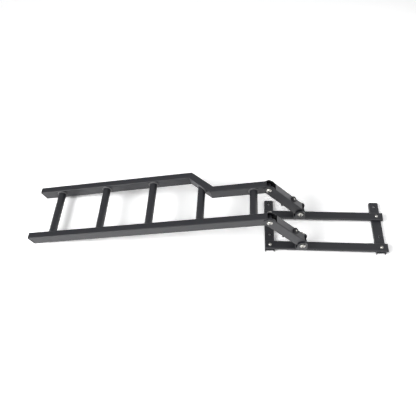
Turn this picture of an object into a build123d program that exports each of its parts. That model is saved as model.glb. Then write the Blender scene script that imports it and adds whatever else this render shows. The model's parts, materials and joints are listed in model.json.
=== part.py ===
"""Tailgate ladder: a bolted base, two hinged arms and a five-rung ladder.

Millimetres, +Z up, +X along the base away from the ladder's foot, +Y towards the rail with the jog.
The origin is the centre of the four tailgate mounting holes, on top of the crossbars, where bolts seat.
"""

import math
import os

from build123d import *

os.makedirs("parts", exist_ok=True)

# Clearances
running_gap = 0.1  # radial, between a pivot bolt and a part that turns on it
seat_gap = 0.05  # radial, between a pin or plug and the bore it sits in
rail_side_gap = 0.3  # between a rail and each flange of its arm
rail_end_gap = 0.8  # between a rail's round end and the web of its arm
thrust_gap = 0.3  # between a thrust washer and the arm's flange
trim_margin = 60.0  # how far cutting tools and uncut stock reach past a finished piece

# Ladder
rail_width = 30.0
rail_height = 50.0
rail_wall = 2.0
rail_corner = 3.0
rail_nose_cut_back = 6.0  # top and bottom walls stop this far before the pivot
rung_diameter = 33.7
rung_wall = 2.0
rung_pitch = 228.6
rung_count = 5
top_rung_to_pivot = 65.0
foot_to_first_rung = 102.0
foot_bevel = 7.5  # the rail's upper edge is this much longer than its lower edge
foot_rim = 5.0
foot_plug_depth = 22.0
foot_plug_wall = 3.0
jog_width = 88.0
jog_run = 100.0
jog_rung_from_top = 1  # the jog is centred on the second rung from the top
sleeve_diameter = 17.0

# Pivot bolts, round-headed
pivot_diameter = 12.0
pivot_head_diameter = 21.0
pivot_head_height = 6.6
pivot_nut_flats = 19.0
pivot_nut_height = 11.0
pivot_thread_past_nut = 3.0
pivot_washer_diameter = 24.0
pivot_washer_thickness = 2.5

# Arms
arm_length = 228.0
arm_height = 46.0
arm_wall = 3.0
arm_bend_radius = 4.5
arm_web_from_base_pivot = 17.0
arm_taper_from_base_pivot = 8.0  # the flanges keep their full height up to here
arm_nose_radius = 14.0  # of the flanges, around the base pivot
arm_rest_angle = 47.8  # above the base, leaning towards the foot
arm_to_block_gap = 1.4  # when an arm lies flat along its bar
spacer_diameter = 18.0

# Stops through the webs of the arms
stop_from_ladder_pivot = 143.0
bumper_diameter = 27.0
bumper_height = 9.0
bumper_round = 2.5
bumper_recess_diameter = 14.0
bumper_recess_depth = 3.0
stud_diameter = 8.0
stud_in_recess = 1.5
stud_in_tip = 7.0
stop_nut_flats = 13.0
stop_nut_height = 6.5
tip_diameter = 13.0
tip_length = 21.0
tip_round = 1.5
tip_reach = 18.0  # past the free edge of the flanges

# Base
hinge_spacing = 160.0  # between the centre lines of the two bars, arms and rail ends
crossbar_spacing = 484.0
crossbar_width = 42.0
crossbar_height = 16.0
crossbar_wall = 3.0
crossbar_past_near_bar = 3.0
bar_height = 11.0
bar_wall = 3.0
bar_past_right_bolt = 28.0
channel_bend_radius = 4.5
base_pivot_from_left_bolt = 136.0
thrust_washer_thickness = 1.4
thrust_washer_diameter = 26.0
hinge_block_length = 48.0
hinge_block_height = 15.0
hinge_block_wall = 3.0
hinge_block_corner = 2.0
ear_thickness = 5.0
ear_radius = 21.0
ear_lap = 6.0  # on the side of the hinge block
base_bolt_diameter = 8.0
base_bolt_head_diameter = 14.0
base_bolt_head_height = 4.4
base_washer_diameter = 17.0
base_washer_thickness = 1.6
base_nut_flats = 13.0
base_nut_height = 6.5
base_thread_past_nut = 2.0

# Tailgate mounting holes
mount_hole_diameter = 11.0
mount_spacing_across = 160.0
mount_past_bar_bolt = 58.0  # from a bar's bolt to the next mounting hole
mount_edge_margin = 22.0

# Widths that follow from what runs inside what
arm_inner_width = rail_width + 2 * rail_side_gap
arm_width = arm_inner_width + 2 * arm_wall
bar_width = arm_width + 2 * (thrust_washer_thickness + thrust_gap)
hinge_width = bar_width + 2 * ear_thickness

# The web of an arm stops where the round end of its rail turns clear of the web's inner bends
bend_start = arm_height / 2 - arm_bend_radius
rail_end_reach = rail_height / 2 + rail_end_gap
arm_web_from_ladder_pivot = math.sqrt(max(rail_end_reach**2 - bend_start**2, 0))

# Places across the base
far_mount_y = mount_spacing_across / 2
far_y = far_mount_y - mount_past_bar_bolt
near_y = far_y - hinge_spacing
wide_y = far_y + jog_width
crossbar_near_y = near_y - bar_width / 2 - crossbar_past_near_bar
crossbar_far_y = far_mount_y + mount_edge_margin
sides = {"near": near_y, "far": far_y}

# Places along the base, and heights from the top of the crossbars
left_x = -crossbar_spacing / 2
right_x = crossbar_spacing / 2
bar_left_x = left_x - crossbar_width / 2
bar_right_x = right_x + bar_past_right_bolt
floor_z = -crossbar_height
bar_top = bar_height
hinge_block_top = bar_top + hinge_block_height

# Pivot axes, both along Y
base_pivot_x = left_x + base_pivot_from_left_bolt
base_pivot_z = hinge_block_top + arm_to_block_gap + arm_height / 2
rest = math.radians(arm_rest_angle)
ladder_pivot_x = base_pivot_x - arm_length * math.cos(rest)
ladder_pivot_z = base_pivot_z + arm_length * math.sin(rest)

# Stations along the ladder, measured from its pivot, negative towards the foot
rung_stations = [-top_rung_to_pivot - rung_pitch * (rung_count - 1 - k) for k in range(rung_count)]
jog_station = rung_stations[-1 - jog_rung_from_top]
foot_station = rung_stations[0] - foot_to_first_rung

# The ladder leans so that the lower corners of its feet rest on the floor of the base
foot_reach = -(foot_station + foot_bevel)
foot_radius = math.hypot(foot_reach, rail_height / 2)
pivot_above_floor = ladder_pivot_z - floor_z
lean = math.asin(pivot_above_floor / foot_radius) - math.atan2(rail_height / 2, foot_reach)

# Working frames: X along the piece, Y across it, Z out of its upper face
ladder_frame = Plane(
    origin=(ladder_pivot_x, 0, ladder_pivot_z),
    x_dir=(math.cos(lean), 0, math.sin(lean)),
    z_dir=(-math.sin(lean), 0, math.cos(lean)),
)
arm_frame = Plane(
    origin=(ladder_pivot_x, 0, ladder_pivot_z),
    x_dir=(math.cos(rest), 0, -math.sin(rest)),
    z_dir=(math.sin(rest), 0, math.cos(rest)),
)
hinge_frame = Plane(origin=(base_pivot_x, 0, base_pivot_z))


def near_side(frame, x, y, z=0):
    """A plane that faces the near side, with its own Y along the frame's Z."""
    return Plane(origin=frame.from_local_coords((x, y, z)), x_dir=frame.x_dir, z_dir=-frame.y_dir)


def far_side(frame, x, y, z=0):
    """A plane that faces the far side."""
    return Plane(origin=frame.from_local_coords((x, y, z)), x_dir=frame.x_dir, z_dir=frame.y_dir)


def along(frame, x, y, z=0):
    """A plane square to the frame's X, with its own X across and its own Y along the frame's Z."""
    return Plane(origin=frame.from_local_coords((x, y, z)), x_dir=frame.y_dir, z_dir=frame.x_dir)


def upper(frame, x, y, z=0):
    """A plane that faces out of the frame's upper face."""
    return Plane(origin=frame.from_local_coords((x, y, z)), x_dir=frame.x_dir, z_dir=frame.z_dir)


def lower(frame, x, y, z=0):
    """A plane that faces the other way, out of the frame's lower face."""
    return Plane(origin=frame.from_local_coords((x, y, z)), x_dir=frame.x_dir, z_dir=-frame.z_dir)


def finish(piece, name):
    """Name a finished piece and write its file."""
    piece.part.label = name
    export_step(piece.part, f"parts/{name}.step")


def hexagon(face, across_flats, height):
    """A hexagon standing on a face, its outer corners turned off at 30 degrees."""
    crown_radius = 0.475 * across_flats
    skirt_radius = crown_radius + height / math.tan(math.radians(30))
    with BuildPart() as head:
        with BuildSketch(face):
            RegularPolygon(radius=across_flats / 2, side_count=6, major_radius=False)
        extrude(amount=height)
        with Locations(face):
            Cone(
                skirt_radius,
                crown_radius,
                height,
                align=(Align.CENTER, Align.CENTER, Align.MIN),
                mode=Mode.INTERSECT,
            )
    return head


def round_head(face, diameter, height):
    """A domed head standing on a face."""
    profile = Plane(origin=face.origin, x_dir=face.x_dir, z_dir=-face.y_dir)
    with BuildPart() as head:
        with BuildSketch(profile):
            with BuildLine():
                TangentArc((0, height), (diameter / 2, 0), tangent=(1, 0))
                Polyline((diameter / 2, 0), (0, 0), (0, height))
            make_face()
        revolve(axis=Axis(face.origin, face.z_dir))
    return head


def rod(face, diameter, length):
    """A round rod that goes back from a face, its far end chamfered."""
    with BuildPart() as shank:
        with BuildSketch(face):
            Circle(diameter / 2)
        extrude(amount=-length)
        chamfer(shank.faces().sort_by(Axis(face.origin, face.z_dir)).first.edges(), diameter / 12)
    return shank


def pivot_bolt(frame, y, width):
    """A bolt through a stack of the given width, its head on the near side."""
    face = near_side(frame, 0, y - width / 2 - pivot_washer_thickness)
    head = round_head(face, pivot_head_diameter, pivot_head_height)
    grip = width + 2 * pivot_washer_thickness
    shank = rod(face, pivot_diameter, grip + pivot_nut_height + pivot_thread_past_nut)
    with BuildPart() as bolt:
        add(head.part)
        add(shank.part)
    return bolt


def pivot_nut(frame, y, width):
    """The nut at the far side of a stack of the given width."""
    face = far_side(frame, 0, y + width / 2 + pivot_washer_thickness)
    body = hexagon(face, pivot_nut_flats, pivot_nut_height)
    with BuildPart() as nut:
        add(body.part)
        with BuildSketch(face):
            Circle(pivot_diameter / 2 + seat_gap)
        extrude(amount=pivot_nut_height, mode=Mode.SUBTRACT)
    return nut


def rings(faces, outer_diameter, bore_diameter, thickness):
    """Flat rings or tubes, one standing on each face."""
    with BuildPart() as ring:
        for face in faces:
            with BuildSketch(face):
                Circle(outer_diameter / 2)
                Circle(bore_diameter / 2, mode=Mode.SUBTRACT)
            extrude(amount=thickness)
    return ring


def channel(face, width, height, wall, bend_radius, length):
    """A bent channel that lies web up, drawn on a face with its open edges at the face's origin."""
    with BuildPart() as sheet:
        with BuildSketch(face):
            with BuildLine():
                FilletPolyline(
                    (width / 2, 0),
                    (width / 2, height),
                    (-width / 2, height),
                    (-width / 2, 0),
                    radius=bend_radius,
                )
                offset(amount=wall, side=Side.LEFT)
            make_face()
        extrude(amount=length)
    return sheet


def foot_plane(y, inward):
    """A plane along the bevel of a rail's foot, moved inward, facing up the rail."""
    station = foot_station + foot_bevel / 2 + inward
    slope = ladder_frame.x_dir * rail_height + ladder_frame.z_dir * foot_bevel
    return Plane(
        origin=ladder_frame.from_local_coords((station, y, 0)),
        x_dir=ladder_frame.y_dir,
        z_dir=slope,
    )


def foot_block(y, inset, first, last):
    """A block with the rail's section, set in from its outside, between two planes along the bevel."""
    with BuildPart() as block:
        with BuildSketch(along(ladder_frame, foot_station - trim_margin, y)):
            RectangleRounded(
                rail_width - 2 * inset,
                rail_height - 2 * inset,
                max(rail_corner - inset, rail_corner / 3),
            )
        extrude(amount=2 * trim_margin)
        split(bisect_by=foot_plane(y, first), keep=Keep.TOP)
        split(bisect_by=foot_plane(y, last), keep=Keep.BOTTOM)
    return block


def ladder_rail(foot_y, pivot_y, *bends):
    """A rail from its bevelled foot to its pivot, through any bends on the way."""
    start = (foot_station - trim_margin, foot_y)
    end = (trim_margin, pivot_y)
    with BuildPart() as rail:
        with BuildLine(ladder_frame) as path:
            Polyline(start, *bends, end)
        with BuildSketch(along(ladder_frame, *start)):
            RectangleRounded(rail_width, rail_height, rail_corner)
        sweep(path=path.wire(), transition=Transition.RIGHT)
        with BuildSketch(along(ladder_frame, *start)):
            RectangleRounded(
                rail_width - 2 * rail_wall,
                rail_height - 2 * rail_wall,
                rail_corner - rail_wall,
            )
        sweep(path=path.wire(), transition=Transition.RIGHT, mode=Mode.SUBTRACT)
        split(bisect_by=foot_plane(foot_y, foot_rim), keep=Keep.TOP)
        with BuildSketch(upper(ladder_frame, -rail_nose_cut_back, pivot_y)):
            Rectangle(
                2 * trim_margin,
                rail_width - 2 * rail_wall,
                align=(Align.MIN, Align.CENTER),
            )
        extrude(amount=rail_height, both=True, mode=Mode.SUBTRACT)
        with BuildSketch(near_side(ladder_frame, 0, pivot_y)):
            Rectangle(2 * trim_margin, 2 * rail_height, align=(Align.MIN, Align.CENTER))
            Circle(rail_height / 2, mode=Mode.SUBTRACT)
        extrude(amount=rail_width, both=True, mode=Mode.SUBTRACT)
        with BuildSketch(near_side(ladder_frame, 0, pivot_y)):
            Circle(sleeve_diameter / 2 + seat_gap)
        extrude(amount=rail_width, both=True, mode=Mode.SUBTRACT)
    return rail


# Ladder: rails
near_rail = ladder_rail(near_y, near_y)
finish(near_rail, "near_rail")

jog_start = (jog_station - jog_run / 2, wide_y)
jog_end = (jog_station + jog_run / 2, far_y)
far_rail = ladder_rail(wide_y, far_y, jog_start, jog_end)
finish(far_rail, "far_rail")

# Ladder: rungs, from the foot upwards, each ending on the inner face of the far rail
jog_inward = ladder_frame.x_dir * -jog_width - ladder_frame.y_dir * jog_run
jog_middle = ladder_frame.from_local_coords((jog_station, (wide_y + far_y) / 2, 0))
jog_face = Plane(
    origin=jog_middle + jog_inward.normalized() * rail_width / 2,
    z_dir=jog_inward,
)
for number, station in enumerate(rung_stations, start=1):
    far_end_y = far_y if station > jog_station else wide_y
    rung_length = far_end_y - near_y - rail_width
    with BuildPart() as rung:
        with BuildSketch(far_side(ladder_frame, station, near_y + rail_width / 2)):
            Circle(rung_diameter / 2)
            Circle(rung_diameter / 2 - rung_wall, mode=Mode.SUBTRACT)
        extrude(amount=rung_length)
        if station == jog_station:
            split(bisect_by=jog_face, keep=Keep.TOP)
    finish(rung, f"rung_{number}")

# Ladder: foot plugs and pivot sleeves
for side, foot_y in {"near": near_y, "far": wide_y}.items():
    rim = foot_block(foot_y, 0, 0, foot_rim)
    plug = foot_block(foot_y, rail_wall + seat_gap, foot_rim, foot_rim + foot_plug_depth)
    hollow = foot_block(
        foot_y,
        rail_wall + seat_gap + foot_plug_wall,
        foot_rim,
        foot_rim + foot_plug_depth + foot_plug_wall,
    )
    with BuildPart() as foot_plug:
        add(rim.part)
        add(plug.part)
        add(hollow.part, mode=Mode.SUBTRACT)
    finish(foot_plug, f"{side}_foot_plug")

for side, y in sides.items():
    sleeve = rings(
        [far_side(ladder_frame, 0, y - rail_width / 2)],
        sleeve_diameter,
        pivot_diameter + 2 * running_gap,
        rail_width,
    )
    finish(sleeve, f"{side}_rail_sleeve")

# Arms: channels with the web cut back at both ends, their flanges half-round at the ladder
# and tapered to a round nose at the base
taper_station = arm_length - arm_taper_from_base_pivot
for side, y in sides.items():
    stock = channel(
        along(arm_frame, -arm_height, y, -arm_height / 2),
        arm_width,
        arm_height,
        arm_wall,
        arm_bend_radius,
        arm_length + 2 * arm_height,
    )
    with BuildPart() as arm:
        add(stock.part)
        with BuildSketch(near_side(arm_frame, 0, y)):
            Circle(arm_height / 2)
            with Locations((taper_station / 2, 0)):
                Rectangle(taper_station, arm_height)
            with Locations((arm_length, 0)):
                Circle(arm_nose_radius)
            make_hull()
        extrude(amount=arm_width, both=True, mode=Mode.INTERSECT)
        with BuildSketch(upper(arm_frame, arm_web_from_ladder_pivot, y)):
            Rectangle(trim_margin, arm_inner_width, align=(Align.MAX, Align.CENTER))
        extrude(amount=arm_height, mode=Mode.SUBTRACT)
        with BuildSketch(upper(arm_frame, arm_length - arm_web_from_base_pivot, y)):
            Rectangle(trim_margin, arm_inner_width, align=(Align.MIN, Align.CENTER))
        extrude(amount=arm_height, mode=Mode.SUBTRACT)
        with BuildSketch(near_side(arm_frame, 0, y)):
            Circle(pivot_diameter / 2 + seat_gap)
        extrude(amount=arm_width, both=True, mode=Mode.SUBTRACT)
        with BuildSketch(near_side(arm_frame, arm_length, y)):
            Circle(pivot_diameter / 2 + running_gap)
        extrude(amount=arm_width, both=True, mode=Mode.SUBTRACT)
        with BuildSketch(upper(arm_frame, stop_from_ladder_pivot, y)):
            Circle(stud_diameter / 2 + seat_gap)
        extrude(amount=arm_height, mode=Mode.SUBTRACT)
    finish(arm, f"{side}_arm")

    arm_spacer = rings(
        [far_side(arm_frame, arm_length, y - arm_inner_width / 2)],
        spacer_diameter,
        pivot_diameter + 2 * running_gap,
        arm_inner_width,
    )
    finish(arm_spacer, f"{side}_arm_spacer")

# Arms: ladder pivot bolts
for side, y in sides.items():
    finish(pivot_bolt(arm_frame, y, arm_width), f"{side}_ladder_pivot_bolt")
    finish(pivot_nut(arm_frame, y, arm_width), f"{side}_ladder_pivot_nut")
    washers = rings(
        [near_side(arm_frame, 0, y - arm_width / 2), far_side(arm_frame, 0, y + arm_width / 2)],
        pivot_washer_diameter,
        pivot_diameter + 2 * seat_gap,
        pivot_washer_thickness,
    )
    finish(washers, f"{side}_ladder_pivot_washers")

# Arms: stops, a rubber bumper above the web and a rubber tip below the flanges on one stud
web_top = arm_height / 2
web_inside = web_top - arm_wall
recess_floor = bumper_height - bumper_recess_depth
tip_end = -arm_height / 2 - tip_reach
tip_start = tip_end + tip_length
stud_top = web_top + recess_floor + stud_in_recess
stud_end = tip_start - stud_in_tip
for side, y in sides.items():
    bumper_face = upper(arm_frame, stop_from_ladder_pivot, y, web_top)
    with BuildPart() as bumper:
        with BuildSketch(bumper_face):
            Circle(bumper_diameter / 2)
        extrude(amount=bumper_height)
        outer_face = bumper.faces().sort_by(Axis(bumper_face.origin, bumper_face.z_dir)).last
        fillet(outer_face.edges(), bumper_round)
        with BuildSketch(upper(arm_frame, stop_from_ladder_pivot, y, web_top + recess_floor)):
            Circle(bumper_recess_diameter / 2)
        extrude(amount=bumper_recess_depth, mode=Mode.SUBTRACT)
        with BuildSketch(bumper_face):
            Circle(stud_diameter / 2 + seat_gap)
        extrude(amount=recess_floor, mode=Mode.SUBTRACT)
    finish(bumper, f"{side}_stop_bumper")

    stud_face = upper(arm_frame, stop_from_ladder_pivot, y, stud_top)
    stud = rod(stud_face, stud_diameter, stud_top - stud_end)
    finish(stud, f"{side}_stop_stud")

    nut_face = lower(arm_frame, stop_from_ladder_pivot, y, web_inside)
    nut_body = hexagon(nut_face, stop_nut_flats, stop_nut_height)
    with BuildPart() as stop_nut:
        add(nut_body.part)
        with BuildSketch(nut_face):
            Circle(stud_diameter / 2 + seat_gap)
        extrude(amount=stop_nut_height, mode=Mode.SUBTRACT)
    finish(stop_nut, f"{side}_stop_nut")

    tip_face = lower(arm_frame, stop_from_ladder_pivot, y, tip_start)
    with BuildPart() as tip:
        with BuildSketch(tip_face):
            Circle(tip_diameter / 2)
        extrude(amount=tip_length)
        end_face = tip.faces().sort_by(Axis(tip_face.origin, tip_face.z_dir)).last
        fillet(end_face.edges(), tip_round)
        with BuildSketch(tip_face):
            Circle(stud_diameter / 2 + seat_gap)
        extrude(amount=stud_in_tip, mode=Mode.SUBTRACT)
    finish(tip, f"{side}_stop_tip")

# Base: crossbars, each with two mounting holes and two holes for the bolts of the bars
crossbar_frame = Plane(origin=(0, 0, floor_z), x_dir=(0, 1, 0), z_dir=(0, 0, 1))
crossbar_length = crossbar_far_y - crossbar_near_y
for side, x in {"left": left_x, "right": right_x}.items():
    stock = channel(
        along(crossbar_frame, crossbar_near_y, -x),
        crossbar_width,
        crossbar_height,
        crossbar_wall,
        channel_bend_radius,
        crossbar_length,
    )
    with BuildPart() as crossbar:
        add(stock.part)
        with BuildSketch():
            with Locations((x, far_mount_y), (x, -far_mount_y)):
                Circle(mount_hole_diameter / 2)
            with Locations((x, near_y), (x, far_y)):
                Circle(base_bolt_diameter / 2 + seat_gap)
        extrude(amount=-crossbar_height, mode=Mode.SUBTRACT)
    finish(crossbar, f"{side}_crossbar")

# Base: bars, across both crossbars
for side, y in sides.items():
    stock = channel(
        along(Plane.XY, bar_left_x, y),
        bar_width,
        bar_height,
        bar_wall,
        channel_bend_radius,
        bar_right_x - bar_left_x,
    )
    with BuildPart() as bar:
        add(stock.part)
        with BuildSketch():
            with Locations((left_x, y), (right_x, y)):
                Circle(base_bolt_diameter / 2 + seat_gap)
        extrude(amount=bar_height, mode=Mode.SUBTRACT)
    finish(bar, f"{side}_bar")

# Base: a hinge block on each bar, an ear on both sides of it, the bolt through the ears
# and the washers against the arm
ear_drop = base_pivot_z - hinge_block_top + ear_lap
for side, y in sides.items():
    block_end = along(
        Plane.XY,
        base_pivot_x - hinge_block_length / 2,
        y,
        bar_top + hinge_block_height / 2,
    )
    with BuildPart() as hinge_block:
        with BuildSketch(block_end):
            RectangleRounded(bar_width, hinge_block_height, hinge_block_corner)
            Rectangle(
                bar_width - 2 * hinge_block_wall,
                hinge_block_height - 2 * hinge_block_wall,
                mode=Mode.SUBTRACT,
            )
        extrude(amount=hinge_block_length)
    finish(hinge_block, f"{side}_hinge_block")

    ear_faces = {
        "outer" if side == "near" else "inner": near_side(hinge_frame, 0, y - bar_width / 2),
        "inner" if side == "near" else "outer": far_side(hinge_frame, 0, y + bar_width / 2),
    }
    for place, ear_face in ear_faces.items():
        down = -1 if ear_face.y_dir.Z > 0 else 1
        with BuildPart() as ear:
            with BuildSketch(ear_face):
                Circle(ear_radius)
                with Locations((0, down * ear_drop / 2)):
                    Rectangle(2 * ear_radius, ear_drop)
                Circle(pivot_diameter / 2 + seat_gap, mode=Mode.SUBTRACT)
            extrude(amount=ear_thickness)
        finish(ear, f"{side}_{place}_ear")

    finish(pivot_bolt(hinge_frame, y, hinge_width), f"{side}_base_pivot_bolt")
    finish(pivot_nut(hinge_frame, y, hinge_width), f"{side}_base_pivot_nut")
    washers = rings(
        [near_side(hinge_frame, 0, y - hinge_width / 2), far_side(hinge_frame, 0, y + hinge_width / 2)],
        pivot_washer_diameter,
        pivot_diameter + 2 * seat_gap,
        pivot_washer_thickness,
    )
    finish(washers, f"{side}_base_pivot_washers")
    thrust_washers = rings(
        [far_side(hinge_frame, 0, y - bar_width / 2), near_side(hinge_frame, 0, y + bar_width / 2)],
        thrust_washer_diameter,
        pivot_diameter + 2 * seat_gap,
        thrust_washer_thickness,
    )
    finish(thrust_washers, f"{side}_thrust_washers")

# Base: four round-headed bolts with their washers and nuts inside the crossbars
bolt_places = [(x, y) for x in (left_x, right_x) for y in sides.values()]
washer_z = -crossbar_wall
nut_z = washer_z - base_washer_thickness
bolt_end_z = nut_z - base_nut_height - base_thread_past_nut
with BuildPart() as base_bolts:
    for x, y in bolt_places:
        head_face = upper(Plane.XY, x, y, bar_top)
        add(round_head(head_face, base_bolt_head_diameter, base_bolt_head_height).part)
        add(rod(head_face, base_bolt_diameter, bar_top - bolt_end_z).part)
finish(base_bolts, "base_bolts")

washer_faces = [lower(Plane.XY, x, y, washer_z) for x, y in bolt_places]
base_washers = rings(
    washer_faces,
    base_washer_diameter,
    base_bolt_diameter + 2 * seat_gap,
    base_washer_thickness,
)
finish(base_washers, "base_washers")

with BuildPart() as base_nuts:
    for x, y in bolt_places:
        nut_face = lower(Plane.XY, x, y, nut_z)
        add(hexagon(nut_face, base_nut_flats, base_nut_height).part)
        with BuildSketch(nut_face):
            Circle(base_bolt_diameter / 2 + seat_gap)
        extrude(amount=base_nut_height, mode=Mode.SUBTRACT)
finish(base_nuts, "base_nuts")
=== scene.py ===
"""Finishes a tailgate ladder for a studio picture, piece by piece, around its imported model."""

import json
import math

import bmesh
import bpy
from mathutils import Matrix, Vector


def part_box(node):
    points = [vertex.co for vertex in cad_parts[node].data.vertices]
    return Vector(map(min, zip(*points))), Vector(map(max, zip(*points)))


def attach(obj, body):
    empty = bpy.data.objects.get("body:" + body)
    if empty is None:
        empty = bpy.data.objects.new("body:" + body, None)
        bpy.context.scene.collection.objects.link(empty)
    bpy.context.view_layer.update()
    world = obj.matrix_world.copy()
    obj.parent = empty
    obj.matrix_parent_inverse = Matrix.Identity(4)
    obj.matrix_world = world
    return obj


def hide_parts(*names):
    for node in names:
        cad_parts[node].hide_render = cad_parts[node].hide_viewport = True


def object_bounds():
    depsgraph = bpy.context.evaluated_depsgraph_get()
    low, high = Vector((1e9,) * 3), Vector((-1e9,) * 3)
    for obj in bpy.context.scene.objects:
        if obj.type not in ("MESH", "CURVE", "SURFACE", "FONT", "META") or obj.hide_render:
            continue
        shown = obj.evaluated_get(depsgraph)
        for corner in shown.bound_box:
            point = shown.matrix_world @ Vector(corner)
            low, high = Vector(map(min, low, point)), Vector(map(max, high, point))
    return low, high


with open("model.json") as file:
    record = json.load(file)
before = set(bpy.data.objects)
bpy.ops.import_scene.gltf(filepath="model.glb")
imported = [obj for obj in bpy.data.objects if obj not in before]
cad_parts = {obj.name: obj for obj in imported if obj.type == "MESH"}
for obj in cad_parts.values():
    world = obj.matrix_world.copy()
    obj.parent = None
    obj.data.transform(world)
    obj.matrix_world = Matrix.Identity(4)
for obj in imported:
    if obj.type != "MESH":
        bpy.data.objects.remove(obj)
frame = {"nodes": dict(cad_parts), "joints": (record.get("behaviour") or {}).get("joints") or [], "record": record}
cad_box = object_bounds()

bl_info = {
    "name": "Tailgate ladder",
    "version": (1, 0, 0),
    "blender": (4, 5, 0),
    "location": "View3D > Sidebar > Tailgate ladder",
    "description": "Welds, fasteners, finishes and a studio for a folding tailgate ladder",
    "category": "Object",
}

ALONG = Vector((1.0, 0.0, 0.0))
ACROSS = Vector((0.0, 1.0, 0.0))
UP = Vector((0.0, 0.0, 1.0))
SIDES = ("near", "far")
RUNGS = ("rung_1", "rung_2", "rung_3", "rung_4", "rung_5")
WELDED_RUNG_ON_JOG = "rung_4"


def low(node):
    """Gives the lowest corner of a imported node."""
    return Vector(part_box(node)[0])


def high(node):
    """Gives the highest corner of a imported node."""
    return Vector(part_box(node)[1])


def middle(node):
    """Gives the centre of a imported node's box."""
    return (low(node) + high(node)) / 2.0


def joint_place(name):
    """Gives the point that a joint turns about."""
    for joint in frame["joints"]:
        if joint["name"] == name:
            return Vector(joint["pos_m"])
    raise RuntimeError("the frame has no joint named " + name)


BASE_PIVOT = joint_place("near_arm_swing")
LADDER_PIVOT = joint_place("ladder_swing")
UP_THE_LADDER = (middle("rung_5") - middle("rung_1")) * Vector((1.0, 0.0, 1.0))
UP_THE_LADDER.normalize()
DOWN_THE_ARM = (BASE_PIVOT - LADDER_PIVOT).normalized()
RUNG_RADIUS = (high("rung_1").x - low("rung_1").x) / 2.0
BAR_TOP = high("near_bar").z
FLOOR_LEVEL = cad_box[0][2]

# Noise, edges and recesses as the finishes read them; the recesses get painted shade
NOISE_ROUGHNESS = 0.55
FEW_LAYERS, SOME_LAYERS, MANY_LAYERS = 2.0, 3.0, 4.0
NOISE_MIDDLE = (0.3, 0.7)
EDGE_SAMPLES = 4
FLAT_TO_SHARP = (0.99, 0.80)
RECESS_SAMPLES = 8
OPEN_TO_DEEP = (0.90, 0.62)

# Finishes: pattern widths and reaches in metres, shades as factors of the colour,
# bumps as height and strength
COAT_IOR = 1.5
COAT_GLOSS = 0.62
COAT_CLOUD = 0.11
COAT_SPECK = 0.0026
COAT_DARK, COAT_LIGHT = 0.88, 1.10
FLECK_SHARE, FLECK_LIGHT = 0.30, 1.8
COAT_EDGE = 0.0011
WEAR = (0.15, 0.65)
WEAR_LIGHT = 3.2
# Painted shade inside the coat's tubes, channels and corners: its reach, a darker colour and a darker reflection
COAT_SHADE_REACH = 0.06
INSIDE_PAINTED_SHADE = 0.15
FULL_GLOSS = (1.0, 1.0, 1.0)
INSIDE_SHADED_GLOSS = (0.02, 0.02, 0.02)
COAT_SMOOTHER, COAT_ROUGHER = 0.05, 0.07
COAT_BUMP = (0.00012, 0.35)
ZINC_CLOUD = 0.006
ZINC_SCRATCH = 0.0009
ZINC_DARK = 0.86
ZINC_TINT = (1.02, 1.0, 0.92)
ZINC_ROUGHNESS = (0.16, 0.30)
ZINC_BUMP = (0.00003, 0.25)
# Grime and painted shade in the sockets, threads and grooves of the zinc
GRIME_AND_SHADE_REACH = 0.004
GRIME_AND_SHADE_DARK = 0.10
RUBBER_GLOSS = 0.4
RUBBER_GRAIN = 0.0008
RUBBER_DUST = 0.012
DUST_LIGHT = 2.2
RUBBER_ROUGHNESS = (0.52, 0.74)
RUBBER_BUMP = (0.00008, 0.4)
NYLON_CLOUD = 0.005
NYLON_GRAIN = 0.0006
NYLON_DARK, NYLON_LIGHT = 0.85, 1.2
NYLON_ROUGHNESS = (0.38, 0.52)
NYLON_BUMP = (0.00004, 0.3)

# Edges of new pieces: angles in degrees, widths in metres
SHARP_ANGLE = 25.0
SMOOTH_ANGLE = 32.0
BOLT_EDGE = 0.0003
NUT_EDGE = 0.0002
COLLAR_EDGE, COLLAR_STEPS = 0.0011, 3

# Weld beads: shares of the bead's half width or of the run's place, turns in radians
BEAD_SIDES = 12
BEAD_SMOOTH = 60.0
BEAD_END_STEPS = ((0.45, 0.75), (0.25, 0.5))
BEAD_SINK = 0.35
RING_FLATNESS = 0.6
RING_CLEARANCE = 0.0008
NEAR_RING_TURN = (0.7, 1.3)
FAR_RING_TURN = (2.1, 1.7)
END_RUN, SEAM_RUN, FOOT_RUN = 0.7, 0.92, 0.86
SEAM_INSET = 0.6
FACING = 0.9

# Threads: shares of the pitch, and turns that are cut off again
THREAD_DEPTH = 0.61
THREAD_TIP = 0.35
THREAD_STEPS = 28
THREAD_SMOOTH = 35.0
SPARE_TURNS = 3
MERGE_PART = 400.0
LEVEL = 0.99
TIP_CORNERS = 8
TIP_TAPER = 0.84

# Bolts and nuts: shares of the height or of the width across flats, overlaps in metres
HEAD_SIDES, BAR_SIDES, NUT_SIDES = 64, 40, 48
CROWN_SHARE = 0.48
SOCKET_MIDDLE = 0.9
OVERLAP = 0.001
COLLAR_SHARE = 0.30
COLLAR_RADIUS = 0.45
COLLAR_OVERLAP = 0.0006
RING_RADIUS = 0.385
RING_HEIGHT = 0.22
RING_FIT = 0.00002
RING_DROP = 0.0004
BASE_BOLT_TURN, BASE_NUT_TURN = 1.0, 2.0

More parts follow.
